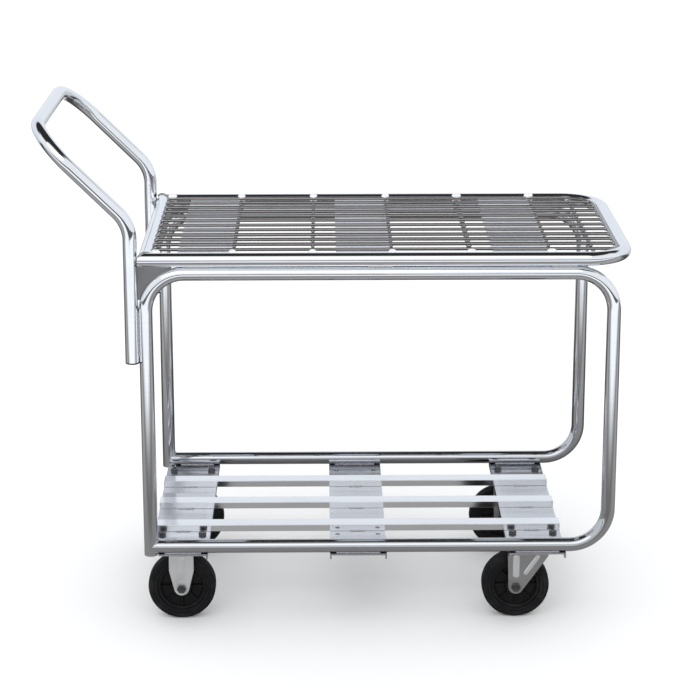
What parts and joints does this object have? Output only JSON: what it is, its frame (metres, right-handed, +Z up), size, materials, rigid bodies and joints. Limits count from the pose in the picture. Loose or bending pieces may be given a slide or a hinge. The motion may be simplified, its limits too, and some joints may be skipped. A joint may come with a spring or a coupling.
{
  "type": "two-deck stock cart",
  "caption": "Chrome tubular push cart with a wire upper deck, a slatted lower deck, an angled rear push handle, rigid rear casters and swivel front casters.",
  "frame": {"origin": "on the floor, under the middle of the cart's overall box", "axes": "+X towards the front of the cart, +Y to its left side, +Z up"},
  "size_m": [1.0834, 0.508, 0.9557],
  "materials": {
    "chrome_tube": "bright chrome plate on bent steel tube",
    "chrome_sheet": "chrome plate on pressed steel sheet, slightly hazy",
    "chrome_wire": "chrome plate on drawn steel wire",
    "moulded_plug": "dark moulded plastic",
    "rubber_tread": "solid black rubber, matt with scuffs",
    "moulded_core": "black moulded wheel core",
    "bearing_steel": "ground bearing steel",
    "plated_fastener": "bright plated steel, darker in the threads",
    "plated_caster": "bright zinc plate on pressed steel"
  },
  "bodies": {
    "cart_frame": {"side_frame_right": "chrome_tube", "side_frame_left": "chrome_tube", "deck_hoop": "chrome_tube", "deck_rear_rail": "chrome_tube", "push_handle": "chrome_tube", "gusset_right": "chrome_sheet", "gusset_left": "chrome_sheet", "deck_support_rear": "chrome_sheet", "deck_support_middle": "chrome_sheet", "deck_support_front": "chrome_sheet", "deck_rim_wire": "chrome_wire", "deck_long_wires": "chrome_wire", "deck_cross_wires": "chrome_wire", "bolster_rear": "chrome_sheet", "bolster_middle": "chrome_sheet", "bolster_front": "chrome_sheet", "slat_right": "chrome_sheet", "slat_middle": "chrome_sheet", "slat_left": "chrome_sheet", "handle_end_plugs": "moulded_plug", "foot_plugs": "moulded_plug", "rear_caster_bolts": "plated_fastener", "rear_caster_nuts": "plated_fastener", "front_caster_bolts": "plated_fastener", "front_caster_nuts": "plated_fastener", "rear_right_fork": "plated_caster", "rear_left_fork": "plated_caster", "rear_axle_bolts": "plated_fastener", "rear_axle_nuts": "plated_fastener", "rear_axle_sleeves": "bearing_steel", "front_right_top_plate": "plated_caster", "front_left_top_plate": "plated_caster", "front_right_kingpin": "plated_caster", "front_left_kingpin": "plated_caster"},
    "front_right_swivel": {"front_right_fork": "plated_caster", "front_right_race": "plated_caster", "front_right_balls": "bearing_steel", "front_right_axle_bolt": "plated_fastener", "front_right_axle_nut": "plated_fastener", "front_right_sleeve": "bearing_steel"},
    "front_left_swivel": {"front_left_fork": "plated_caster", "front_left_race": "plated_caster", "front_left_balls": "bearing_steel", "front_left_axle_bolt": "plated_fastener", "front_left_axle_nut": "plated_fastener", "front_left_sleeve": "bearing_steel"},
    "rear_right_wheel": {"rear_right_tread": "rubber_tread", "rear_right_core": "moulded_core", "rear_right_bearing": "bearing_steel"},
    "rear_left_wheel": {"rear_left_tread": "rubber_tread", "rear_left_core": "moulded_core", "rear_left_bearing": "bearing_steel"},
    "front_right_wheel": {"front_right_tread": "rubber_tread", "front_right_core": "moulded_core", "front_right_bearing": "bearing_steel"},
    "front_left_wheel": {"front_left_tread": "rubber_tread", "front_left_core": "moulded_core", "front_left_bearing": "bearing_steel"}
  },
  "joints": [
    {"name": "front_right_swivel_turn", "type": "hinge", "parent": "cart_frame", "child": "front_right_swivel", "pos_m": [0.3755, -0.1753, 0.1362], "axis": [0, 0, 1], "continuous": true},
    {"name": "front_left_swivel_turn", "type": "hinge", "parent": "cart_frame", "child": "front_left_swivel", "pos_m": [0.3755, 0.1753, 0.1362], "axis": [0, 0, 1], "continuous": true},
    {"name": "rear_right_wheel_spin", "type": "hinge", "parent": "cart_frame", "child": "rear_right_wheel", "pos_m": [-0.2865, -0.1753, 0.0635], "axis": [0, 1, 0], "continuous": true},
    {"name": "rear_left_wheel_spin", "type": "hinge", "parent": "cart_frame", "child": "rear_left_wheel", "pos_m": [-0.2865, 0.1753, 0.0635], "axis": [0, 1, 0], "continuous": true},
    {"name": "front_right_wheel_spin", "type": "hinge", "parent": "front_right_swivel", "child": "front_right_wheel", "pos_m": [0.3415, -0.1753, 0.0635], "axis": [0, 1, 0], "continuous": true},
    {"name": "front_left_wheel_spin", "type": "hinge", "parent": "front_left_swivel", "child": "front_left_wheel", "pos_m": [0.3415, 0.1753, 0.0635], "axis": [0, 1, 0], "continuous": true}
  ]
}
